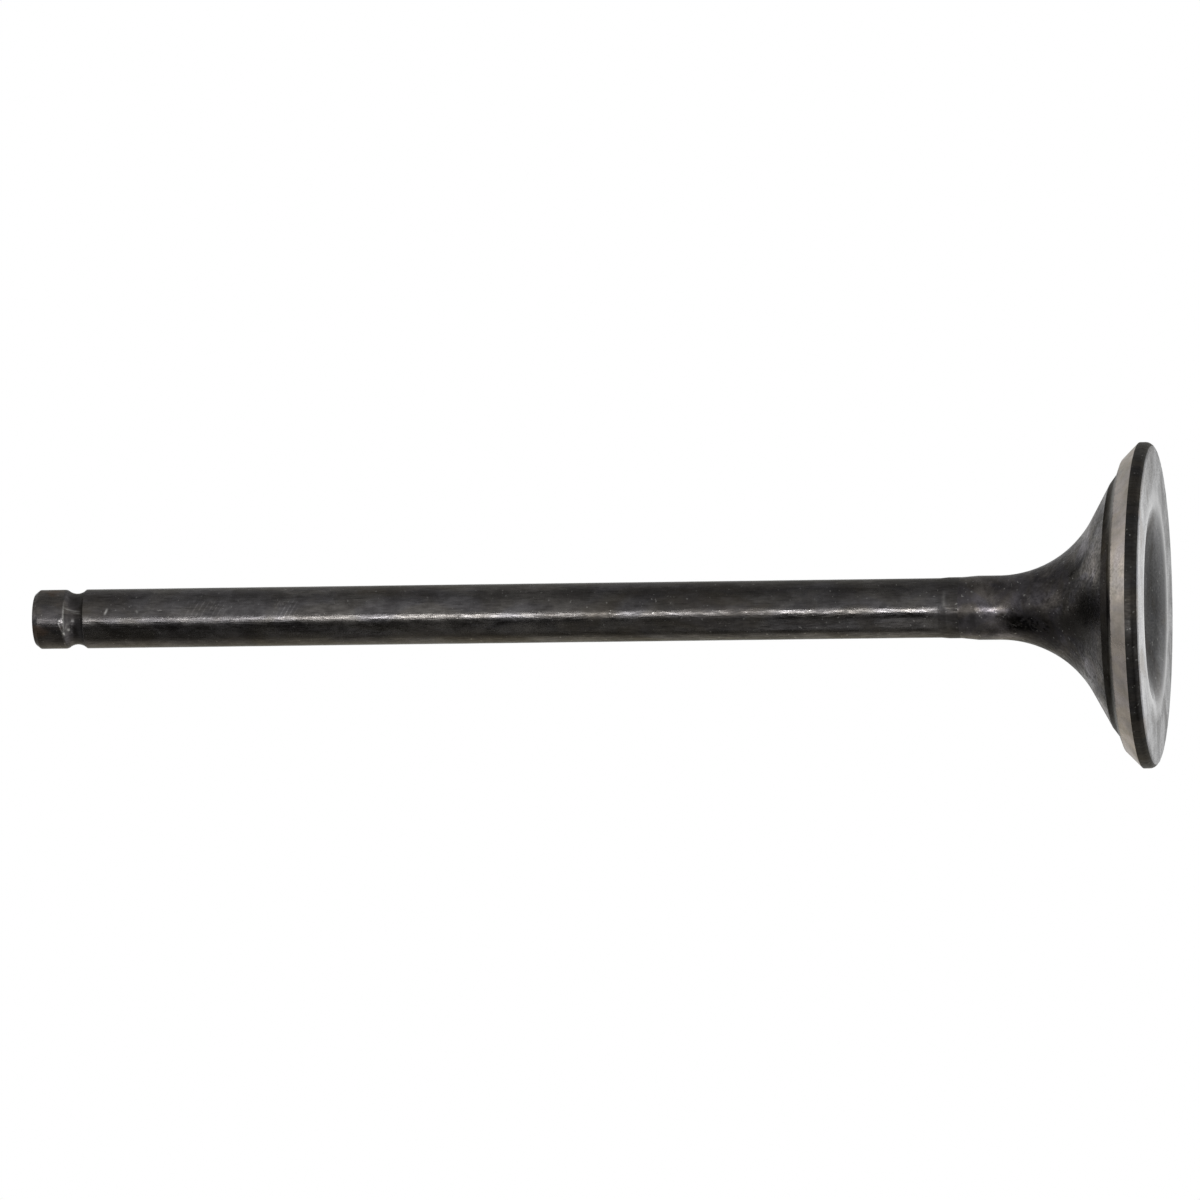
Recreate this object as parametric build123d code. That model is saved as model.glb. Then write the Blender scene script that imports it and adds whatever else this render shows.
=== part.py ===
from build123d import *
from math import cos, radians, sin, sqrt, tan
import os

# Exhaust poppet valve of a car engine: one forged piece, turned and ground.
# It stands on its head. The head's face lies on Z = 0 and the stem points up.
# Lengths are in millimetres, and slopes are angles from the valve's axis.

# Whole valve
overall_length = 104.6
head_diameter = 30.0
stem_diameter = 5.48

# Head: the face with its dish, the margin and the seat
dish_diameter = 18.3
dish_depth = 1.2
dish_lip_radius = 5.0
rim_radius = 0.7
margin_height = 1.2
seat_angle = 45.0
seat_width = 2.1

# Back of the head: two turned facets between the seat and the tulip
back_cut_angle = 70.0
back_cut_width = 1.28
shoulder_angle = 53.0
shoulder_width = 1.12
shoulder_radius = 0.8

# Tulip: a straight cone that runs into the neck by one large radius
tulip_angle = 61.0
tulip_radius = 10.1

# Neck, and the turned land where the grinding wheel runs out
neck_diameter = 5.92
neck_length = 1.9
neck_taper_length = 1.6
land_diameter = 5.62
land_length = 1.15
run_out_length = 0.75

# Keeper groove: one round groove below the tip
groove_below_tip = 3.92
groove_radius = 1.3
groove_depth = 0.38
groove_edge_radius = 0.12

# Tip: a chamfer whose two edges are rounded over
tip_chamfer_height = 0.48
tip_chamfer_width = 0.38
tip_edge_radius = 0.2


def facet_step(width, angle):
    """How far a straight facet goes in, and how far it goes up."""
    return width * sin(radians(angle)), width * cos(radians(angle))


def corner(sketch, radius, height):
    """The corner of the profile at this radius and height."""
    return sketch.vertices().sort_by_distance((radius, height, 0))[0]


# Radii
head_radius = head_diameter / 2
stem_radius = stem_diameter / 2
neck_radius = neck_diameter / 2
land_radius = land_diameter / 2
dish_radius = dish_diameter / 2
tip_radius = stem_radius - tip_chamfer_width

# Back of the head, from the margin in to the tulip
seat_step, seat_rise = facet_step(seat_width, seat_angle)
back_cut_step, back_cut_rise = facet_step(back_cut_width, back_cut_angle)
shoulder_step, shoulder_rise = facet_step(shoulder_width, shoulder_angle)
seat_inner = (head_radius - seat_step, margin_height + seat_rise)
back_cut_inner = (seat_inner[0] - back_cut_step, seat_inner[1] + back_cut_rise)
tulip_outer = (back_cut_inner[0] - shoulder_step, back_cut_inner[1] + shoulder_rise)

# The cone ends where the large radius is tangent to it and to the neck
cone_end_radius = neck_radius + tulip_radius * (1 - cos(radians(tulip_angle)))
cone_rise = (tulip_outer[0] - cone_end_radius) / tan(radians(tulip_angle))
cone_end = (cone_end_radius, tulip_outer[1] + cone_rise)
neck_start = cone_end[1] + tulip_radius * sin(radians(tulip_angle))

# Heights up the stem
taper_start = neck_start + neck_length
land_start = taper_start + neck_taper_length
run_out_start = land_start + land_length
ground_stem_start = run_out_start + run_out_length
chamfer_start = overall_length - tip_chamfer_height

# Keeper groove: its centre, and its half width at the stem's surface
groove_height = overall_length - groove_below_tip
groove_centre_radius = stem_radius + groove_radius - groove_depth
groove_half_width = sqrt(groove_radius**2 - (groove_radius - groove_depth) ** 2)

# The dish is a shallow ball hollow of this radius
ball_radius = (dish_radius**2 + dish_depth**2) / (2 * dish_depth)

with BuildPart() as valve:
    with BuildSketch(Plane.XZ) as profile:
        with BuildLine():
            Polyline((0, 0), (head_radius, 0), (head_radius, margin_height), seat_inner)
            Polyline(seat_inner, back_cut_inner, tulip_outer)
            cone = Line(tulip_outer, cone_end)
            TangentArc(cone_end, (neck_radius, neck_start), tangent=cone % 1)
            Polyline(
                (neck_radius, neck_start),
                (neck_radius, taper_start),
                (land_radius, land_start),
                (land_radius, run_out_start),
                (stem_radius, ground_stem_start),
                (stem_radius, chamfer_start),
                (tip_radius, overall_length),
                (0, overall_length),
                (0, 0),
            )
        make_face()
        with Locations((0, dish_depth - ball_radius)):
            Circle(ball_radius, mode=Mode.SUBTRACT)
        with Locations((groove_centre_radius, groove_height)):
            Circle(groove_radius, mode=Mode.SUBTRACT)

        fillet(corner(profile, dish_radius, 0), dish_lip_radius)
        fillet(corner(profile, head_radius, 0), rim_radius)
        fillet(corner(profile, *tulip_outer), shoulder_radius)
        for side in (-1, 1):
            groove_edge = groove_height + side * groove_half_width
            fillet(corner(profile, stem_radius, groove_edge), groove_edge_radius)
        fillet(corner(profile, stem_radius, chamfer_start), tip_edge_radius)
        fillet(corner(profile, tip_radius, overall_length), tip_edge_radius)
    revolve(axis=Axis.Z)

os.makedirs("parts", exist_ok=True)
export_step(valve.part, "parts/valve.step")
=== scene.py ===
import bpy
import math
import numpy as np
from mathutils import Matrix, Vector, noise


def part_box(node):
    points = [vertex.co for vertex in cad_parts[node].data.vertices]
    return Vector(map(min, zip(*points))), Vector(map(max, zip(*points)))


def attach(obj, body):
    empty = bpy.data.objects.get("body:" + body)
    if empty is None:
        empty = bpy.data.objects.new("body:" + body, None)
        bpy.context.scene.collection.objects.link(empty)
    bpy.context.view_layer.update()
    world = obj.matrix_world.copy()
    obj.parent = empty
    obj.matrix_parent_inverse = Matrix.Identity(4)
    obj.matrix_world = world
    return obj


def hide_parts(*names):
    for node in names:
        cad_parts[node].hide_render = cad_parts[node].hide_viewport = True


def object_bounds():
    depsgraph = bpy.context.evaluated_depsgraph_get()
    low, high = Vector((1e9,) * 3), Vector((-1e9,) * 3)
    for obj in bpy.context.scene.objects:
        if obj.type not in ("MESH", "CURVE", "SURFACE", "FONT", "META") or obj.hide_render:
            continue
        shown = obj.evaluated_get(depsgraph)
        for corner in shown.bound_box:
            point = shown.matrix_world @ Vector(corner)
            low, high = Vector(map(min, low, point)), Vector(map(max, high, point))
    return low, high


# An engine exhaust valve that stands on its head. The profile is kept in millimetres,
# as a turner reads it from a drawing, and is scaled to metres once, in latheValve.
mm = 0.001

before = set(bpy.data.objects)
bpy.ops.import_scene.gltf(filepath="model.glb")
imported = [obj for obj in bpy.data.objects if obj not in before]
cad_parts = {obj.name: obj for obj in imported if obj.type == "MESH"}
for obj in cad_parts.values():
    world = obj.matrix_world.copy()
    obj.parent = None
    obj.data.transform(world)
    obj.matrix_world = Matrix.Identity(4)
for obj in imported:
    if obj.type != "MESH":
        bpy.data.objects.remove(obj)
cadLow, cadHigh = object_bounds()
valveLow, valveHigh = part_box("valve")
headRadius = (valveHigh.x - valveLow.x) / 2 / mm
overallLength = (valveHigh.z - valveLow.z) / mm
print("frame loaded, valve is", round(overallLength, 2), "mm long")

# sizes in mm and slopes in degrees from the axis; what the frame's box gives isn't repeated
profileSizes = {
    "stemRadius": 2.74,
    "dishRadius": 9.15, "dishDepth": 1.2, "dishLip": 5.0,
    "rimRadius": 0.7, "marginHeight": 1.2,
    "seatAngle": 45.0, "seatWidth": 2.1,
    "backCutAngle": 70.0, "backCutWidth": 1.28,
    "shoulderAngle": 53.0, "shoulderWidth": 1.12, "shoulderRound": 0.8,
    "tulipAngle": 61.0, "tulipRadius": 10.1,
    "neckRadius": 2.96, "neckLength": 1.9, "neckTaper": 1.6,
    "landRadius": 2.81, "landLength": 1.15, "runOut": 0.75,
    "grooveBelowTip": 3.92, "grooveRadius": 1.3, "grooveDepth": 0.38, "grooveEdge": 0.12,
    "grooveWornEdge": 0.50,
    "chamferHeight": 0.48, "chamferWidth": 0.38, "tipEdge": 0.2,
    "edgeBreak": 0.04, "softBreak": 0.08, "neckBreak": 0.12,
}

# how finely the mesh follows the profile: points round it, row spacing in mm, and which share of a bend's
# rows still has the finish of the zone before it
meshFineness = {
    "around": 216,
    "head": 0.36, "tulip": 0.34, "land": 0.12, "stem": 0.9, "tipEnd": 0.085,
    "tipEndLength": 10.5, "bendRows": 7, "arcPoints": 400, "support": 0.05,
    "bendShare": 0.5, "rimShare": 0.3, "onAxis": 1e-6,
}


def straight(start, end):
    return np.array([start, end], float)


def arc(centre, radius, fromAngle, toAngle):
    angles = np.radians(np.linspace(fromAngle, toAngle, meshFineness["arcPoints"]))
    return np.column_stack([centre[0] + radius * np.cos(angles), centre[1] + radius * np.sin(angles)])


def facet(start, width, angle):
    slope = math.radians(angle)
    return (start[0] - width * math.sin(slope), start[1] + width * math.cos(slope))


def valveRuns():
    # (zone, outline, row spacing, how far the bend at its end is cut back), from the dish's centre to
    # the tip's
    size = profileSizes
    spacing = meshFineness
    ball = (size["dishRadius"] ** 2 + size["dishDepth"] ** 2) / (2 * size["dishDepth"])
    dishEdge = math.degrees(math.acos(size["dishRadius"] / ball))
    lipCut = size["dishLip"] * math.tan(math.radians(90 - dishEdge) / 2)
    rim = (headRadius, 0)
    seatOut = (headRadius, size["marginHeight"])
    seatIn = facet(seatOut, size["seatWidth"], size["seatAngle"])
    backIn = facet(seatIn, size["backCutWidth"], size["backCutAngle"])
    tulipOut = facet(backIn, size["shoulderWidth"], size["shoulderAngle"])
    shoulderTurn = math.radians(size["tulipAngle"] - size["shoulderAngle"])
    shoulderCut = size["shoulderRound"] * math.tan(shoulderTurn / 2)

    # the cone of the tulip runs into the neck by one arc that touches both
    slope = math.radians(size["tulipAngle"])
    coneRadius = size["neckRadius"] + size["tulipRadius"] * (1 - math.cos(slope))
    coneEnd = (coneRadius, tulipOut[1] + (tulipOut[0] - coneRadius) / math.tan(slope))
    neckStart = coneEnd[1] + size["tulipRadius"] * math.sin(slope)
    tulipCentre = (size["neckRadius"] + size["tulipRadius"], neckStart)
    tulipArc = arc(tulipCentre, size["tulipRadius"], 180 + size["tulipAngle"], 180)
    taperStart = neckStart + size["neckLength"]
    landStart = taperStart + size["neckTaper"]
    runOutStart = landStart + size["landLength"]
    stemStart = runOutStart + size["runOut"]

    grooveHeight = overallLength - size["grooveBelowTip"]
    grooveAxis = size["stemRadius"] + size["grooveRadius"] - size["grooveDepth"]
    grooveSpan = math.degrees(math.acos((grooveAxis - size["stemRadius"]) / size["grooveRadius"]))
    grooveHalf = size["grooveRadius"] * math.sin(math.radians(grooveSpan))
    grooveCut = size["grooveEdge"] * math.tan(math.radians(grooveSpan) / 2)
    wornCut = size["grooveWornEdge"] * math.tan(math.radians(grooveSpan) / 2)
    grooveArc = arc((grooveAxis, grooveHeight), size["grooveRadius"], 180 + grooveSpan, 180 - grooveSpan)

    stem = size["stemRadius"]
    neck = size["neckRadius"]
    land = size["landRadius"]
    fineStart = overallLength - spacing["tipEndLength"]
    grooveLow = (stem, grooveHeight - grooveHalf)
    grooveTop = (stem, grooveHeight + grooveHalf)
    chamferStart = (stem, overallLength - size["chamferHeight"])
    tipRim = (stem - size["chamferWidth"], overallLength)
    chamferTurn = math.atan2(size["chamferWidth"], size["chamferHeight"])
    chamferCut = size["tipEdge"] * math.tan(chamferTurn / 2)
    tipCut = size["tipEdge"] * math.tan((math.pi / 2 - chamferTurn) / 2)
    return [
        ("dish", arc((0, size["dishDepth"] - ball), ball, 90, dishEdge), spacing["head"], lipCut),
        ("face", straight((size["dishRadius"], 0), rim), spacing["head"], size["rimRadius"]),
        ("margin", straight(rim, seatOut), spacing["head"], size["edgeBreak"]),
        ("seat", straight(seatOut, seatIn), spacing["head"], size["edgeBreak"]),
        ("backCut", straight(seatIn, backIn), spacing["head"], size["softBreak"]),
        ("backCut", straight(backIn, tulipOut), spacing["head"], shoulderCut),
        ("tulip", straight(tulipOut, coneEnd), spacing["tulip"], 0),
        ("tulip", tulipArc, spacing["tulip"], 0),
        ("neck", straight((neck, neckStart), (neck, taperStart)), spacing["tulip"], size["neckBreak"]),
        ("neck", straight((neck, taperStart), (land, landStart)), spacing["tulip"], size["neckBreak"]),
        ("land", straight((land, landStart), (land, runOutStart)), spacing["land"], size["softBreak"]),
        ("land", straight((land, runOutStart), (stem, stemStart)), spacing["land"], size["softBreak"]),
        ("stem", straight((stem, stemStart), (stem, fineStart)), spacing["stem"], 0),
        ("stem", straight((stem, fineStart), grooveLow), spacing["tipEnd"], grooveCut),
        ("groove", grooveArc, spacing["tipEnd"], wornCut),
        ("tip", straight(grooveTop, chamferStart), spacing["tipEnd"], chamferCut),
        ("tip", straight(chamferStart, tipRim), spacing["tipEnd"], tipCut),
        ("tip", straight(tipRim, (0, overallLength)), spacing["head"], 0),
    ]


def bend(start, corner, end, count):
    # a round corner as one cubic, from start to end
    incoming = corner - start
    outgoing = end - corner
    turn = math.acos(min(1, incoming @ outgoing / np.linalg.norm(incoming) / np.linalg.norm(outgoing)))
    reach = 4 / 3 * math.tan(turn / 4) / math.tan(turn / 2)
    after = start + incoming * reach
    before = end - outgoing * reach
    way = np.linspace(0, 1, count)[:, None]
    left = 1 - way
    return left ** 3 * start + 3 * left ** 2 * way * after + 3 * left * way ** 2 * before + way ** 3 * end


def profileRows():
    # the rows of the lathe, and the zone of each strip between two rows
    rows = []
    zones = []
    cutBefore = 0
    cornerStart = None
    support = meshFineness["support"]
    for zone, outline, step, cut in valveRuns():
        lengths = np.concatenate([[0], np.cumsum(np.linalg.norm(np.diff(outline, axis=0), axis=1))])
        first = cutBefore
        last = lengths[-1] - cut
        count = max(2, math.ceil((last - first) / step) + 1)
        stops = np.linspace(first, last, count)
        # a row close to each end keeps the shading flat up to the bend
        if step > 2 * support and last - first > 4 * support:
            stops = np.sort(np.concatenate([stops, [first + support, last - support]]))
        points = np.column_stack([np.interp(stops, lengths, outline[:, axis]) for axis in (0, 1)])
        if cornerStart is not None:
            curve = bend(cornerStart, outline[0], points[0], meshFineness["bendRows"])
            share = meshFineness["rimShare" if zone == "margin" else "bendShare"]
            before = round(len(curve) * share)
            rows += list(curve[1:-1])
            zones += [zones[-1]] * before + [zone] * (len(curve) - 1 - before)
        elif rows:
            points = points[1:]
            zones.append(zone)
        rows += list(points)
        zones += [zone] * (len(points) - 1)
        cutBefore = cut
        cornerStart = points[-1] if cut else None
    return np.array(rows), zones


# small damage: angle from the front towards +X, height, half sizes along its own line and across it,
# how its line leans from upright, depth (minus stands proud) and how much bright steel shows there
surfaceMarks = [
    {"angle": 13.4, "height": 97.53, "long": 0.30, "wide": 0.075, "lean": 115, "depth": 0.03, "bare": 1.2},
    {"angle": 12.6, "height": 94.61, "long": 0.14, "wide": 0.09, "lean": 60, "depth": 0.02, "bare": 0.4},
    {"angle": 17.0, "height": 19.25, "long": 0.75, "wide": 0.15, "lean": 90, "depth": -0.008, "bare": 0.17},
    {"angle": 3.0, "height": 101.60, "long": 1.25, "wide": 0.06, "lean": 90, "depth": -0.02, "bare": 0.55},
    {"angle": -20.0, "height": 101.85, "long": 0.55, "wide": 0.07, "lean": 68, "depth": -0.03, "bare": 0.5},
    {"angle": -14.0, "height": 101.30, "long": 0.42, "wide": 0.09, "lean": 118, "depth": 0.03, "bare": 0.2},
    {"angle": -30.2, "height": 101.64, "long": 0.13, "wide": 0.13, "lean": 0, "depth": -0.03, "bare": 1.3},
    {"angle": -23.8, "height": 101.17, "long": 0.12, "wide": 0.11, "lean": 30, "depth": -0.02, "bare": 1.0},
    {"angle": -3.5, "height": 100.74, "long": 0.12, "wide": 0.10, "lean": 20, "depth": -0.01, "bare": 0.3},
    {"angle": -3.2, "height": 101.97, "long": 0.16, "wide": 0.08, "lean": 120, "depth": -0.01, "bare": 0.4},
    {"angle": 19.5, "height": 100.82, "long": 0.72, "wide": 0.06, "lean": 12, "depth": 0.015, "bare": 0.40},
    {"angle": 13.5, "height": 100.50, "long": 0.50, "wide": 0.06, "lean": 14, "depth": 0.02, "bare": 0.22},
    {"angle": 33.0, "height": 6.12, "long": 0.70, "wide": 0.17, "lean": 126, "depth": 0.06, "bare": 0.0},
    {"angle": 28.9, "height": 7.00, "long": 0.42, "wide": 0.16, "lean": 5, "depth": 0.05, "bare": 0.0},
    {"angle": 40.0, "height": 7.90, "long": 0.45, "wide": 0.16, "lean": 150, "depth": 0.04, "bare": 0.0},
]

# stains of scale and wear, and one band of painted shade that stands for a dark reflection on the flare's
# lower side near the neck: angle and height, half sizes along its own line (upward, unless it leans) and
# across it, and how much lighter (plus) or darker (minus) the steel is there
stainsAndPaintedShade = [
    # painted shade: a dark reflection painted as a dark band on the lower side of the flare near the neck
    {"angle": -27, "height": 11.2, "long": 2.7, "wide": 1.0, "level": -0.70},
    {"angle": 2, "height": 5.3, "long": 1.3, "wide": 1.5, "level": -0.62},
    {"angle": 22, "height": 5.0, "long": 1.1, "wide": 1.9, "level": 0.8},
    {"angle": 33.2, "height": 6.1, "long": 0.75, "wide": 0.17, "lean": 126, "level": -0.75},
    {"angle": 28.9, "height": 7.0, "long": 0.50, "wide": 0.16, "lean": 0, "level": -0.7},
    {"angle": 41.0, "height": 7.6, "long": 0.50, "wide": 0.30, "lean": 140, "level": -0.45},
    {"angle": 33, "height": 6.5, "long": 1.3, "wide": 0.75, "level": -0.5},
    {"angle": 51, "height": 5.4, "long": 0.9, "wide": 1.9, "level": 0.7},
    {"angle": -44, "height": 5.1, "long": 1.1, "wide": 1.7, "level": 1.5},
    {"angle": -60, "height": 4.9, "long": 0.9, "wide": 1.3, "level": 1.0},
    {"angle": -18, "height": 6.8, "long": 1.6, "wide": 1.0, "level": -0.3},
    {"angle": 12, "height": 9.8, "long": 1.6, "wide": 0.7, "level": 0.15},
    {"angle": 11.3, "height": 1.9, "long": 0.9, "wide": 1.85, "level": 0.13},
    {"angle": 57, "height": 2.3, "long": 0.9, "wide": 5.0, "level": 0.0, "bare": 0.6},
    {"angle": -62, "height": 2.4, "long": 0.8, "wide": 4.0, "level": 0.0, "bare": 0.45},
    {"angle": 148, "height": 5.8, "long": 1.5, "wide": 2.4, "level": -0.35},
    {"angle": 196, "height": 5.0, "long": 1.1, "wide": 2.2, "level": 0.5},
    {"angle": 236, "height": 9.5, "long": 2.4, "wide": 1.2, "level": -0.35},
    {"angle": 118, "height": 8.0, "long": 1.6, "wide": 1.4, "level": 0.35},
]

# how far the skin wanders and the size of its waves, and between which heights the flare runs off centre;
# the rim's waves start from rimSunk of their size, so that they hardly stand proud
unevenness = {
    "forging": 0.014, "forgingSize": 3.5, "rim": 0.02, "rimSize": 0.8, "rimSunk": 0.5,
    "offCentre": 0.05, "flareStart": 4.32, "flareEnd": 18.0, "flareFade": 0.6,
}


def onOwnLine(angles, height, radius, spot):
    # where each point of a row lies along a mark's or a tone patch's own line and across it, in its half
    # sizes
    turned = (angles - math.radians(spot["angle"]) + math.pi) % (2 * math.pi) - math.pi
    across = turned * radius
    up = height - spot["height"]
    lean = math.radians(spot.get("lean", 0))
    along = (up * math.cos(lean) + across * math.sin(lean)) / spot["long"]
    aside = (across * math.cos(lean) - up * math.sin(lean)) / spot["wide"]
    return along, aside


def damage(angles, height, radius):
    # how far the surface sinks at each point of one row, and how bare it is
    sink = np.zeros_like(angles)
    bare = np.zeros_like(angles)
    for mark in surfaceMarks:
        along, aside = onOwnLine(angles, height, radius, mark)
        shape = np.exp(-(along ** 4) - aside ** 2)
        sink += mark["depth"] * shape
        bare = np.maximum(bare, mark["bare"] * shape)
    return sink, bare


def stainingAndPaintedShade(angles, height, radius):
    # how much lighter or darker the steel is at each point of one row, from its stains and from one band of
    # painted shade, and how bare it is
    level = np.zeros_like(angles)
    bare = np.zeros_like(angles)
    for tonePatch in stainsAndPaintedShade:
        along, aside = onOwnLine(angles, height, radius, tonePatch)
        shape = np.exp(-(aside ** 4) - along ** 4)
        level += tonePatch["level"] * shape
        bare += tonePatch.get("bare", 0) * shape
    return level, bare


def forgedShare(height):
    # the forged flare runs slightly out of true; this share of it fades out at the ground head and stem
    start = unevenness["flareStart"]
    end = unevenness["flareEnd"]
    way = min(1, max(0, (height - start) / (end - start)))
    return max(0, math.sin(math.pi * way)) ** unevenness["flareFade"]


def latheRow(radius, height, normal, zone, turns):
    # one row of points with its damage and unevenness, kept within the head's radius and the valve's length
    sink, bare = damage(turns, height, radius)
    row = np.column_stack([radius * np.sin(turns), -radius * np.cos(turns), np.full(len(turns), height)])
    if zone in ("tulip", "neck"):
        waves = unevenness["forgingSize"]
        sink += [unevenness["forging"] * noise.noise(Vector(point) / waves) for point in row]
        row[:, 0] -= unevenness["offCentre"] * forgedShare(height)
    if zone in ("margin", "face") and radius > headRadius - profileSizes["rimRadius"]:
        waves = unevenness["rimSize"]
        sunk = unevenness["rimSunk"]
        sink += [unevenness["rim"] * (sunk + noise.noise(Vector(point) / waves)) for point in row]
    row[:, 0] -= sink * normal[0] * np.sin(turns)
    row[:, 1] += sink * normal[0] * np.cos(turns)
    row[:, 2] -= sink * normal[1]
    reach = np.hypot(row[:, 0], row[:, 1])
    row[:, :2] *= np.minimum(1, headRadius / reach)[:, None]
    row[:, 2] = np.clip(row[:, 2], 0, overallLength)
    level, worn = stainingAndPaintedShade(turns, height, radius)
    return row, np.maximum(bare, worn), level


def latheValve():
    rows, zones = profileRows()
    tangents = np.gradient(rows, axis=0)
    tangents /= np.linalg.norm(tangents, axis=1)[:, None]
    normals = np.column_stack([tangents[:, 1], -tangents[:, 0]])
    count = meshFineness["around"]
    turns = np.arange(count) * 2 * math.pi / count
    points = []
    bareness = []
    stainedAndShaded = []
    rings = []
    for (radius, height), normal, zone in zip(rows, normals, zones + [zones[-1]]):
        if radius < meshFineness["onAxis"]:
            rings.append([len(points)] * count)
            points.append((0, 0, height))
            bareness.append(0)
            stainedAndShaded.append(0)
            continue
        row, bare, level = latheRow(radius, height, normal, zone, turns)
        rings.append(list(range(len(points), len(points) + count)))
        points += [tuple(point) for point in row]
        bareness += list(bare)
        stainedAndShaded += list(level)
    faces = []
    faceZones = []
    for low, high, zone in zip(rings, rings[1:], zones):
        for here in range(count):
            after = (here + 1) % count
            corners = [low[here], low[after], high[after], high[here]]
            # at the two centres a face has three corners
            faces.append([corner for place, corner in enumerate(corners) if corner != corners[place - 1]])
            faceZones.append(zone)
    mesh = bpy.data.meshes.new("engineValve")
    mesh.from_pydata([(x * mm, y * mm, z * mm) for x, y, z in points], [], faces)
    for name, values in (("bare", bareness), ("stainedAndShaded", stainedAndShaded)):
        mesh.attributes.new(name, "FLOAT", "POINT").data.foreach_set("value", values)
    mesh.polygons.foreach_set("use_smooth", [True] * len(faces))
    valve = bpy.data.objects.new("engineValve", mesh)
    bpy.context.scene.collection.objects.link(valve)
    return valve, faceZones


valve, faceZones = latheValve()
print("valve lathed with", len(valve.data.polygons), "faces")


def addNode(tree, kind, inputs=None, **settings):
    made = tree.nodes.new(kind)
    for key, value in settings.items():
        setattr(made, key, value)
    for key, value in (inputs or {}).items():
        if isinstance(value, bpy.types.NodeSocket):
            tree.links.new(value, made.inputs[key])
        else:
            made.inputs[key].default_value = value
    return made


def maths(tree, operation, first, second=0.0, third=0.0, clamp=False):
    inputs = {0: first, 1: second}
    if operation == "MULTIPLY_ADD":
        inputs[2] = third
    return addNode(tree, "ShaderNodeMath", inputs, operation=operation, use_clamp=clamp).outputs[0]


def vectorMaths(tree, operation, inputs, output=0):
    return addNode(tree, "ShaderNodeVectorMath", inputs, operation=operation).outputs[output]


def remap(tree, value, low, high, toLow=0.0, toHigh=1.0):
    inputs = {0: value, 1: low, 2: high, 3: toLow, 4: toHigh}
    return addNode(tree, "ShaderNodeMapRange", inputs, interpolation_type="SMOOTHSTEP").outputs[0]


def mixColours(tree, factor, first, second, blend="MIX"):
    made = addNode(tree, "ShaderNodeMix", {0: factor}, data_type="RGBA", blend_type=blend)
    for socket, value in ((made.inputs[6], first), (made.inputs[7], second)):
        if isinstance(value, bpy.types.NodeSocket):
            tree.links.new(value, socket)
        else:
            socket.default_value = (*value, 1)
    return made.outputs[2]


def noiseOf(tree, vector, detail, roughness=0.55, distortion=0.0):
    inputs = {"Vector": vector, "Scale": 1.0, "Detail": detail}
    inputs.update({"Roughness": roughness, "Distortion": distortion})
    return addNode(tree, "ShaderNodeTexNoise", inputs).outputs[0]


def roundCoordinates(tree):
    # places on a turned part: the point, the direction round the axis, the radius, the height and the
    # depth from front to back
    place = addNode(tree, "ShaderNodeTexCoord").outputs["Object"]
    parts = addNode(tree, "ShaderNodeSeparateXYZ", {0: place})
    flat = vectorMaths(tree, "MULTIPLY", {0: place, 1: (1, 1, 0)})
    radius = vectorMaths(tree, "LENGTH", {0: flat}, "Value")
    direction = vectorMaths(tree, "NORMALIZE", {0: flat})
    return place, direction, radius, parts.outputs["Z"], parts.outputs["Y"]


def bearingOf(tree, vector):
    # the angle from the front towards +X
    parts = addNode(tree, "ShaderNodeSeparateXYZ", {0: vector})
    return maths(tree, "ARCTAN2", parts.outputs["X"], maths(tree, "MULTIPLY", parts.outputs["Y"], -1.0))


def alongAndRound(tree, direction, along, roundSize, alongSize):
    # a vector whose x and y go round the part in steps of roundSize and whose z goes along it
    factor = 1 / roundSize
    turned = vectorMaths(tree, "MULTIPLY", {0: direction, 1: (factor, factor, 0)})
    height = maths(tree, "MULTIPLY", along, 1 / (alongSize * mm))
    lifted = addNode(tree, "ShaderNodeCombineXYZ", {2: height}).outputs[0]
    return vectorMaths(tree, "ADD", {0: turned, 1: lifted})


def levelsOf(tree, value, reach, levels):
    # a number that follows value, which goes from -reach to reach, through the given levels
    middle = 0.5
    share = maths(tree, "MULTIPLY_ADD", value, middle / reach, middle)
    ramp = addNode(tree, "ShaderNodeValToRGB", {0: share})
    stops = ramp.color_ramp.elements
    positions = [place / reach / 2 + middle for place, level in levels]
    for position in positions[1:-1]:
        stops.new(position)
    for stop, position, (place, level) in zip(stops, positions, levels):
        stop.position = position
        stop.color = (level, level, level, 1)
    return ramp.outputs[0]


def inMetres(levels):
    # the ramp starts at minus the reach, so the first level is repeated there
    return [(-1.0 * levels[-1][0] * mm, levels[0][1])] + [(place * mm, level) for place, level in levels]


# where each use of a noise begins and where it is full
noiseRanges = {
    "darkness": (0.40, 0.62), "tinting": (0.50, 0.64), "casting": (0.40, 0.60), "mottling": (0.30, 0.70),
    "ringing": (0.30, 0.70), "dashing": (0.60, 0.70), "patching": (0.35, 0.65), "stainingAndPaintedShade": (0.66, 0.86),
    "stroking": (0.30, 0.60), "specking": (0.70, 0.76), "baring": (0.42, 0.62),
    "blotchGloss": (0.30, 0.70), "patchGloss": (0.40, 0.68), "grainGloss": (0.30, 0.70),
}


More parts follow.
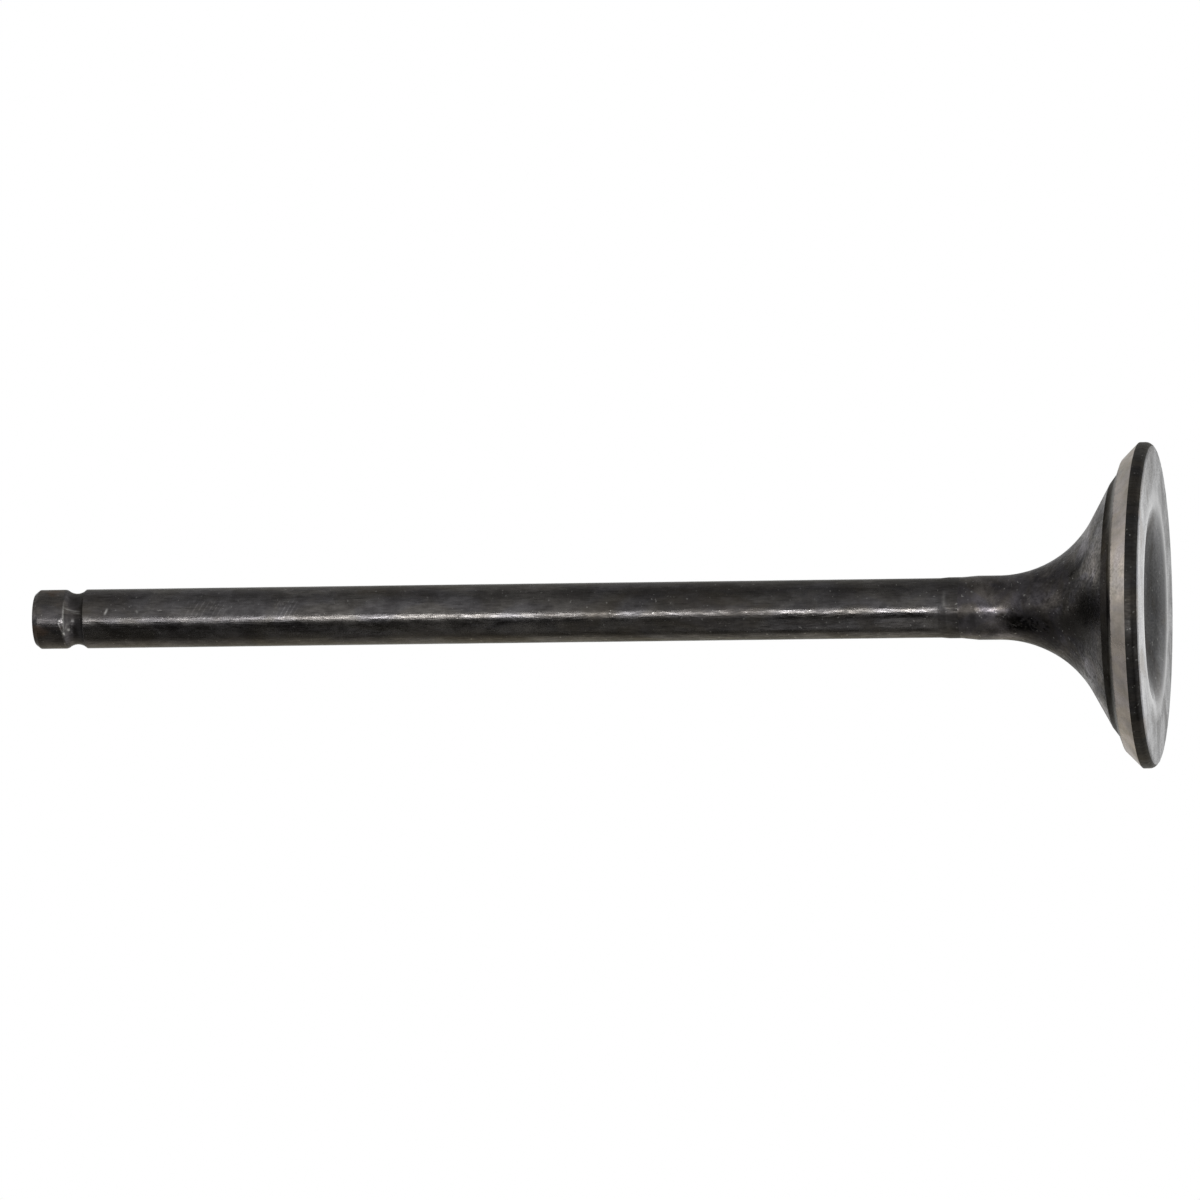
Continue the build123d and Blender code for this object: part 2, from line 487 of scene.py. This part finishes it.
def steelFinish(name, look):
    material = bpy.data.materials.new(name)
    material.use_nodes = True
    tree = material.node_tree
    shader = tree.nodes["Principled BSDF"]
    place, direction, radius, height, depth = roundCoordinates(tree)
    along = maths(tree, "SUBTRACT", height, radius)
    guides = {
        "ByRadius": (radius, headRadius), "Across": (depth, headRadius), "Along": (height, overallLength),
    }

    def spots(size, stretch=1.0, **settings):
        scale = (1 / (size * mm), 1 / (size * mm), 1 / (size * stretch * mm))
        return noiseOf(tree, vectorMaths(tree, "MULTIPLY", {0: place, 1: scale}), **settings)

    def streaks(width, length, detail):
        return noiseOf(tree, alongAndRound(tree, direction, along, look[width], look[length]), detail)

    def ranged(use, texture, toLow=0.0, toHigh=1.0):
        return remap(tree, texture, *noiseRanges[use], toLow, toHigh)

    def followed(quality, guide):
        where, reach = guides[guide]
        return levelsOf(tree, where, reach * mm, inMetres(look[quality + guide]))

    def attributeOf(wanted):
        return addNode(tree, "ShaderNodeAttribute", attribute_name=wanted).outputs["Fac"]

    # turned or ground lines round the part, dashes drawn out along it, and the skin's own unevenness
    rings = streaks("ringReach", "ringSpacing", detail=3)
    dashes = streaks("dashWidth", "dashLength", detail=2)
    blotches = spots(look["blotchSize"], look["blotchStretch"], detail=6, roughness=0.68, distortion=0.3)
    patches = spots(look["patchSize"], look["blotchStretch"], detail=3, distortion=0.5)
    hues = spots(look["hueSize"], look["blotchStretch"], detail=4, distortion=1.0)
    grain = spots(look["grainSize"], look["grainStretch"], detail=2, roughness=0.6)
    dents = spots(look["dentSize"], detail=2)
    specks = spots(look["speckSize"], detail=1)

    # the steel's own colour, from dark blotches, tinted patches and a warm or cool cast
    shade = mixColours(tree, ranged("darkness", blotches), look["dark"], look["colour"])
    tinting = maths(tree, "MULTIPLY", ranged("tinting", patches), look["tintAmount"])
    shade = mixColours(tree, tinting, shade, look["tint"])
    cast = mixColours(tree, ranged("casting", hues), look["warmCast"], look["coolCast"])
    shade = mixColours(tree, 1.0, shade, cast, "MULTIPLY")

    # how light it is: each pattern, stain and stroke makes it a share lighter or darker; the stains'
    # attribute also carries a band of painted shade
    coarse = followed("relief", "Along") if "reliefAlong" in look else 1.0
    mottle = ranged("mottling", grain, -look["grainShade"], look["grainShade"])
    broken = maths(tree, "MULTIPLY_ADD", grain, look["stainAndShadeGrain"], blotches)
    broken = ranged("stainingAndPaintedShade", broken, look["stainAndShadeBreaks"], look["stainAndShadeMost"])
    stainedAndShaded = maths(tree, "MULTIPLY_ADD", attributeOf("stainedAndShaded"), broken, 1.0)
    level = ranged("ringing", rings, 1 - look["ringShade"], 1 + look["ringShade"])
    for share in (
        ranged("dashing", dashes, 1.0, 1 - look["dashShade"]),
        maths(tree, "MULTIPLY_ADD", mottle, coarse, 1.0),
        ranged("patching", patches, 1 + look["patchShade"], 1 - look["patchShade"]),
        maths(tree, "MAXIMUM", stainedAndShaded, look["stainAndShadeDarkest"]),
    ):
        level = maths(tree, "MULTIPLY", level, share)
    if "chatter" in look:
        strokes = chatterMarks(tree, bearingOf(tree, direction), height, look)
        strokes = maths(tree, "MULTIPLY", strokes, ranged("stroking", grain))
        level = maths(tree, "MULTIPLY_ADD", level, strokes, level)
    # the lists by radius, across and along scale the colour; on the face, the stem and the groove they paint
    # light and shade into it
    for guide in guides:
        if "shade" + guide in look:
            level = maths(tree, "MULTIPLY", level, followed("shade", guide))
    shade = vectorMaths(tree, "SCALE", {0: shade, 3: level})

    # pale specks, and bare steel where the part is nicked or rubbed
    pale = maths(tree, "MULTIPLY", ranged("specking", specks), look["speckAmount"])
    bare = maths(tree, "MULTIPLY", attributeOf("bare"), ranged("baring", grain, look["bareBreaks"], 1.0))
    shade = mixColours(tree, maths(tree, "MAXIMUM", pale, bare), shade, look["bare"])
    if "innerEdge" in look:
        # the ground band doesn't end in a clean line where the stone ran out
        wander = maths(tree, "ADD", blotches, grain)
        wander = maths(tree, "MULTIPLY_ADD", wander, look["edgeWander"] * mm, radius)
        start, end = look["innerEdge"]
        shade = mixColours(tree, remap(tree, wander, start * mm, end * mm), plainSteel["dark"], shade)
    tree.links.new(shade, shader.inputs["Base Color"])

    spread = look["roughnessSpread"]
    rough = ranged("blotchGloss", blotches, -spread, spread)
    rough = maths(tree, "ADD", rough, ranged("patchGloss", patches, -spread, spread * 2))
    rough = maths(tree, "ADD", rough, ranged("grainGloss", grain, look["grainRough"], -look["grainRough"]))
    base = look["roughness"]
    for guide in guides:
        if "roughness" + guide in look:
            base = followed("roughness", guide)
    tree.links.new(maths(tree, "ADD", rough, base, clamp=True), shader.inputs["Roughness"])

    relief = maths(tree, "MULTIPLY", rings, look["ringDepth"])
    textures = ((grain, look["grainDepth"]), (dashes, -look["dashDepth"]), (dents, look["dentDepth"]))
    for texture, deep in textures:
        relief = maths(tree, "MULTIPLY_ADD", texture, deep, relief)
    relief = maths(tree, "MULTIPLY", relief, coarse)
    bump = addNode(tree, "ShaderNodeBump", {"Height": relief, "Strength": 1.0, "Distance": mm})
    tree.links.new(bump.outputs[0], shader.inputs["Normal"])

    shader.inputs["Metallic"].default_value = look["metallic"]
    if "glancingAcross" in look:
        tree.links.new(followed("glancing", "Across"), shader.inputs["Specular Tint"])
    else:
        shader.inputs["Specular Tint"].default_value = (*look["glancing"], 1)
    return material


def chatterMarks(tree, turn, height, look):
    # short slanted strokes that the grinding wheel left in a few places
    total = 0.0
    for mark in look["chatter"]:
        middle = math.remainder(math.radians(mark["angle"]), 2 * math.pi)
        spread = math.radians(mark["spread"])
        reach = mark["reach"] * mm
        slanted = maths(tree, "MULTIPLY_ADD", turn, mark["shift"] * mm, height)
        wave = maths(tree, "SINE", maths(tree, "MULTIPLY", slanted, 2 * math.pi / (mark["pitch"] * mm)))
        aside = maths(tree, "ABSOLUTE", maths(tree, "SUBTRACT", turn, middle))
        away = maths(tree, "ABSOLUTE", maths(tree, "SUBTRACT", height, mark["height"] * mm))
        stroke = remap(tree, wave, *look["strokeEdge"])
        stroke = maths(tree, "MULTIPLY", stroke, remap(tree, aside, spread, spread / 2))
        stroke = maths(tree, "MULTIPLY", stroke, remap(tree, away, reach, reach / 2))
        total = maths(tree, "MULTIPLY_ADD", stroke, mark["strength"], total)
    return total


# one dictionary per zone; what a zone doesn't say comes from plainSteel. Sizes and depths are in mm, and a
# list ByRadius, Across or Along gives a value at each radius, place from front to back or height.
# on the face, the stem and the groove some of these lists paint light and shade into the steel's colour
plainSteel = {
    "colour": (0.114, 0.112, 0.111), "dark": (0.076, 0.074, 0.073), "bare": (0.58, 0.57, 0.55),
    "tint": (0.092, 0.083, 0.070), "tintAmount": 0.45, "metallic": 0.99, "glancing": (0.66, 0.66, 0.64),
    "warmCast": (1.04, 1.0, 0.96), "coolCast": (1.0, 0.98, 1.02),
    "roughness": 0.27, "roughnessSpread": 0.04, "grainRough": 0.06,
    "ringReach": 0.9, "ringSpacing": 0.09, "ringShade": 0.04, "ringDepth": 0.0012,
    "dashWidth": 0.05, "dashLength": 2.0, "dashShade": 0.35, "dashDepth": 0.006,
    "blotchSize": 1.5, "blotchStretch": 1.8, "patchSize": 4.5, "patchShade": 0.12, "hueSize": 3.15,
    "grainSize": 0.22, "grainStretch": 4.0, "grainDepth": 0.009, "grainShade": 0.16,
    "dentSize": 1.2, "dentDepth": 0.006,
    "speckSize": 0.3, "speckAmount": 0.25, "bareBreaks": 0.7,
    "stainAndShadeGrain": 0.6, "stainAndShadeBreaks": 0.25, "stainAndShadeMost": 1.4, "stainAndShadeDarkest": 0.12,
}

finishesAndPaintedLight = {
    "stem": {
        "chatter": [
            {
                "angle": 17, "spread": 22, "height": 88.2, "reach": 2.3, "pitch": 0.50, "shift": 1.5,
                "strength": 0.5,
            },
            {
                "angle": 15, "spread": 24, "height": 80.45, "reach": 1.3, "pitch": 0.42, "shift": 1.5,
                "strength": 0.65,
            },
            {
                "angle": 214, "spread": 26, "height": 62.0, "reach": 2.0, "pitch": 0.46, "shift": -1.2,
                "strength": 0.5,
            },
        ],
        "strokeEdge": (0.45, 0.95),
        # painted light: the stem's steel is painted lighter toward the tip, standing for light that falls
        # there more strongly; over the land it is darker
        "shadeAlong": [
            (0, 0.60), (18.5, 0.60), (19.1, 0.88), (20.2, 0.82), (33, 0.78), (51, 0.84), (60, 1.0),
            (70, 1.17), (86, 1.16), (104.6, 1.2),
        ],
        "roughnessAlong": [
            (0, 0.36), (19.7, 0.37), (21.2, 0.255), (35, 0.255), (60, 0.262), (80, 0.268), (104.6, 0.26),
        ],
    },
    "tip": {
        "colour": (0.118, 0.113, 0.110), "tint": (0.125, 0.093, 0.074), "tintAmount": 0.85,
        "patchSize": 3.0, "hueSize": 2.1, "roughness": 0.33, "grainDepth": 0.012,
    },
    "groove": {
        "colour": (0.10, 0.096, 0.096), "roughness": 0.36,
        # painted shade: the groove's lower wall, toward the head, is painted darker
        "shadeAlong": [(0, 0.35), (99.9, 0.35), (100.35, 0.55), (100.8, 1.0), (104.6, 1.1)],
    },
    "tulip": {
        "colour": (0.098, 0.095, 0.095), "dark": (0.050, 0.048, 0.048), "tint": (0.072, 0.071, 0.064),
        "glancing": (0.8, 0.8, 0.79), "roughnessSpread": 0.05,
        "warmCast": (1.07, 1.0, 0.93), "coolCast": (1.0, 0.965, 1.05),
        "grainDepth": 0.030, "grainSize": 0.30, "grainStretch": 1.4, "grainShade": 0.23,
        "dentSize": 1.1, "dentDepth": 0.05,
        "ringShade": 0.0, "ringDepth": 0.0, "dashShade": 0.0, "dashDepth": 0.0,
        "blotchSize": 2.2, "blotchStretch": 1.0, "patchSize": 5.0, "patchShade": 0.28, "hueSize": 3.5,
        "speckAmount": 0.35,
        "shadeAlong": [
            (0, 1.25), (4.6, 1.15), (6.0, 0.95), (8.8, 0.86), (12.2, 1.04), (13.6, 1.12), (14.6, 1.14),
            (104.6, 1.14),
        ],
        "roughnessAlong": [(0, 0.36), (9.0, 0.36), (13.0, 0.33), (14.2, 0.34), (104.6, 0.34)],
        "reliefAlong": [(0, 1.0), (10.0, 1.0), (13.8, 0.22), (104.6, 0.22)],
    },
    "backCut": {
        "colour": (0.07, 0.068, 0.064), "dark": (0.05, 0.048, 0.046), "glancing": (0.35, 0.35, 0.34),
        "roughness": 0.36, "dashShade": 0.0, "dashDepth": 0.0,
        "shadeByRadius": [(0, 1.0), (12.6, 1.0), (13.2, 3.2), (15, 3.5)],
    },
    "seat": {
        "colour": (0.68, 0.63, 0.58), "dark": (0.58, 0.535, 0.49), "tint": (0.52, 0.505, 0.44),
        "roughness": 0.34, "dashShade": 0.0, "dashDepth": 0.0, "grainDepth": 0.008, "grainShade": 0.05,
        "speckAmount": 0.0, "bareBreaks": 0.0, "innerEdge": (13.64, 13.89), "edgeWander": 0.25,
    },
    "margin": {
        "colour": (0.044, 0.044, 0.043), "dark": (0.032, 0.031, 0.030), "roughness": 0.42, "dashShade": 0.1,
    },
    "face": {
        "colour": (0.063, 0.064, 0.065), "dark": (0.048, 0.049, 0.050), "warmCast": (1.02, 1.0, 0.98),
        "metallic": 1.0, "dashShade": 0.0, "dashDepth": 0.0, "grainDepth": 0.006,
        "ringReach": 2.0, "ringSpacing": 0.8, "ringShade": 0.14, "ringDepth": 0.003, "speckAmount": 0.5,
        # painted light: the face and dish are painted lighter toward the front and given a weaker edge tint
        # toward the back, a painted reflection; the ring just inside the dish's lip is painted lighter, a
        # painted highlight
        "shadeAcross": [(-15, 5.6), (-9.5, 4.8), (-8.4, 2.9), (-5, 1.2), (0, 0.9), (15, 0.75)],
        "glancingAcross": [(-15, 1.0), (-6, 1.0), (0, 0.9), (9, 0.82), (15, 0.8)],
        "shadeByRadius": [(0, 1.0), (7.0, 1.0), (7.8, 1.5), (8.5, 1.7), (9.2, 1.0), (15, 1.0)],
        "roughnessByRadius": [
            (0, 0.62), (4.8, 0.62), (6.3, 0.53), (7.5, 0.40), (8.7, 0.23), (9.2, 0.10), (9.8, 0.12),
            (10.8, 0.24), (15, 0.27),
        ],
    },
}
# zones that share another one's finish
zoneLooks = {"dish": "face", "neck": "tulip", "land": "stem"}
for zone in finishesAndPaintedLight:
    valve.data.materials.append(steelFinish(zone + "Steel", {**plainSteel, **finishesAndPaintedLight[zone]}))
zoneOrder = list(finishesAndPaintedLight)
slots = [zoneOrder.index(zoneLooks.get(zone, zone)) for zone in faceZones]
valve.data.polygons.foreach_set("material_index", slots)
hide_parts("valve")
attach(valve, "root")
print("steel finishes made:", len(finishesAndPaintedLight))


# the studio: a pale floor with a hole under the head, so that it never shows through the face; in metres
floorSizes = {
    "hole": 0.0143, "mirrorFree": 0.024, "fadeStart": 0.12, "fadeEnd": 0.35, "around": 96,
    "colour": (0.80, 0.80, 0.79), "roughness": 0.9, "gloss": 0.1,
}


def makeFloor(sizes):
    count = sizes["around"]
    turns = np.arange(count) * 2 * math.pi / count
    radii = (sizes["hole"], sizes["fadeStart"], sizes["fadeEnd"])
    points = [(radius * math.cos(turn), radius * math.sin(turn), 0) for radius in radii for turn in turns]
    faces = []
    for inner in range(0, count * (len(radii) - 1), count):
        outer = inner + count
        for here in range(count):
            after = (here + 1) % count
            faces.append([inner + here, outer + here, outer + after, inner + after])
    mesh = bpy.data.meshes.new("floor")
    mesh.from_pydata(points, [], faces)
    floor = bpy.data.objects.new("floor", mesh)
    bpy.context.scene.collection.objects.link(floor)
    mesh.materials.append(floorPaper(sizes))
    return floor


def floorPaper(sizes):
    # pale from above; it fades out far off and isn't there from below
    material = bpy.data.materials.new("paleFloor")
    material.use_nodes = True
    tree = material.node_tree
    paper = tree.nodes["Principled BSDF"]
    paper.inputs["Base Color"].default_value = (*sizes["colour"], 1)
    paper.inputs["Roughness"].default_value = sizes["roughness"]
    paper.inputs["Specular IOR Level"].default_value = sizes["gloss"]
    place = addNode(tree, "ShaderNodeTexCoord").outputs["Object"]
    distance = vectorMaths(tree, "LENGTH", {0: place}, "Value")
    fade = remap(tree, distance, sizes["fadeStart"], sizes["fadeEnd"])
    clear = addNode(tree, "ShaderNodeBsdfTransparent").outputs[0]
    under = addNode(tree, "ShaderNodeNewGeometry").outputs["Backfacing"]
    # the dark rim mirrors the room, not its own contact shadow
    mirror = addNode(tree, "ShaderNodeLightPath").outputs["Is Glossy Ray"]
    close = maths(tree, "MULTIPLY", mirror, maths(tree, "LESS_THAN", distance, sizes["mirrorFree"]))
    unseen = maths(tree, "MAXIMUM", maths(tree, "MAXIMUM", fade, under), close)
    oneSided = addNode(tree, "ShaderNodeMixShader", {0: unseen, 1: paper.outputs[0], 2: clear}).outputs[0]
    tree.links.new(oneSided, tree.nodes["Material Output"].inputs["Surface"])
    return material


makeFloor(floorSizes)
print("floor laid")

# what the steel mirrors: brightness by bearing, in degrees from the front towards +X; overhead by the
# ray's X; and the bearings at which the light has a warm cast
surroundings = {
    "bearings": [
        (-180, 1.0), (-157, 0.7), (-134, 0.62), (-110, 0.40), (-88, 0.10), (-60, 0.06), (-35, 0.03),
        (-12, 0.10), (0, 0.35), (12, 0.68), (25, 0.66), (47, 0.50), (75, 0.30), (92, 0.28), (121, 0.5),
        (157, 0.65), (180, 1.0),
    ],
    "overheadAcross": [
        (-1.0, 0.36), (-0.4, 0.32), (-0.3, 0.20), (-0.17, 0.20), (-0.08, 0.30), (0.0, 0.62), (0.08, 0.88),
        (0.2, 0.88), (0.28, 0.5), (0.34, 0.38), (0.45, 0.42), (1.0, 0.45),
    ],
    "cast": (1.06, 1.0, 0.87), "castAt": [(-180, 0), (-166, 0), (-144, 1), (-45, 1), (-20, 0), (180, 0)],
    "overheadFrom": 0.42, "overheadTo": 0.78, "below": 0.7, "belowFrom": -0.35, "belowTo": -0.75,
    "ambient": 0.75,
}


def makeWorld(look):
    world = bpy.data.worlds.new("studio")
    bpy.context.scene.world = world
    world.use_nodes = True
    tree = world.node_tree
    background = tree.nodes["Background"]
    ray = addNode(tree, "ShaderNodeTexCoord").outputs["Generated"]
    parts = addNode(tree, "ShaderNodeSeparateXYZ", {0: ray})
    bearing = bearingOf(tree, ray)

    def grey(level):
        return (level, level, level)

    def byBearing(levels):
        return levelsOf(tree, bearing, math.pi, [(math.radians(degrees), level) for degrees, level in levels])

    cast = mixColours(tree, byBearing(look["castAt"]), grey(1), look["cast"])
    around = mixColours(tree, 1.0, byBearing(look["bearings"]), cast, "MULTIPLY")
    above = levelsOf(tree, parts.outputs["X"], 1.0, look["overheadAcross"])
    risen = remap(tree, parts.outputs["Z"], look["overheadFrom"], look["overheadTo"])
    sky = mixColours(tree, risen, around, above)
    sunk = remap(tree, parts.outputs["Z"], look["belowFrom"], look["belowTo"])
    sky = mixColours(tree, sunk, sky, grey(look["below"]))
    path = addNode(tree, "ShaderNodeLightPath")
    soft = mixColours(tree, path.outputs["Is Diffuse Ray"], sky, grey(look["ambient"]))
    seen = mixColours(tree, path.outputs["Is Camera Ray"], soft, grey(1))
    tree.links.new(seen, background.inputs["Color"])
    background.inputs["Strength"].default_value = 1.0


makeWorld(surroundings)

# lamps, in metres and watts, aimed at the valve's middle: two tubes that draw the bright line down the stem,
# two cards for its shaded side, and a soft key for the floor
white = (1.0, 1.0, 1.0)
straw = (1.0, 0.97, 0.86)
lamps = {
    "lowTube": {
        "at": (-0.170, -1.2, 0.140), "size": (0.100, 0.17), "lean": -12, "power": 2.15, "colour": white,
        "mirrored": True,
    },
    "highTube": {
        "at": (-0.120, -1.2, 0.290), "size": (0.070, 0.14), "lean": -33, "power": 0.265, "colour": white,
        "mirrored": True,
    },
    "lowCard": {
        "at": (-0.262, -0.150, 0.063), "size": (0.26, 0.062), "lean": 0, "power": 0.034, "colour": white,
        "mirrored": True,
    },
    "edgeCard": {
        "at": (-0.252, 0.163, 0.080), "size": (0.20, 0.060), "lean": 0, "power": 0.019, "colour": straw,
        "mirrored": True,
    },
    "key": {
        "at": (0.5, -0.5, 1.1), "size": (1.0, 1.0), "lean": 0, "power": 7.0, "colour": white,
        "mirrored": False,
    },
}


def makeLamp(name, lamp):
    light = bpy.data.lights.new(name, "AREA")
    light.shape = "RECTANGLE"
    light.size, light.size_y = lamp["size"]
    light.energy = lamp["power"]
    light.color = lamp["colour"]
    holder = bpy.data.objects.new(name, light)
    bpy.context.scene.collection.objects.link(holder)
    holder.location = lamp["at"]
    middle = (cadLow + cadHigh) / 2
    facing = (middle - holder.location).to_track_quat("-Z", "Y").to_matrix()
    holder.rotation_euler = (facing @ Matrix.Rotation(math.radians(lamp["lean"]), 3, "Z")).to_euler()
    holder.visible_camera = False
    holder.visible_glossy = lamp["mirrored"]


for name, lamp in lamps.items():
    makeLamp(name, lamp)
print("lamps set:", len(lamps))

# the camera looks up a little from below the head's level, rolled so that the valve lies across the view.
# Aim, distance, lens and sensor are in mm, the angles in degrees.
cameraSetup = {
    "aim": (1.138, 0.0, 51.58), "distance": 1238.0, "tilt": 8.7, "roll": 0.749, "lens": 402.0, "sensor": 36.0,
    "nearest": 10.0, "farthest": 10000.0,
}


def makeCamera(setup):
    tilt = math.radians(setup["tilt"])
    roll = math.radians(setup["roll"])
    forward = Vector((0, math.cos(tilt), math.sin(tilt)))
    toHead = Vector((0, math.sin(tilt), -math.cos(tilt)))
    across = Vector((1, 0, 0))
    right = toHead * math.cos(roll) - across * math.sin(roll)
    up = toHead * math.sin(roll) + across * math.cos(roll)
    data = bpy.data.cameras.new("camera")
    data.lens = setup["lens"]
    data.sensor_width = setup["sensor"]
    data.clip_start = setup["nearest"] * mm
    data.clip_end = setup["farthest"] * mm
    camera = bpy.data.objects.new("camera", data)
    camera.matrix_world = Matrix((right, up, -forward)).transposed().to_4x4()
    camera.location = Vector(setup["aim"]) * mm - forward * setup["distance"] * mm
    bpy.context.scene.collection.objects.link(camera)
    bpy.context.scene.camera = camera


makeCamera(cameraSetup)
bpy.context.scene.view_settings.view_transform = "Standard"
print("camera set")
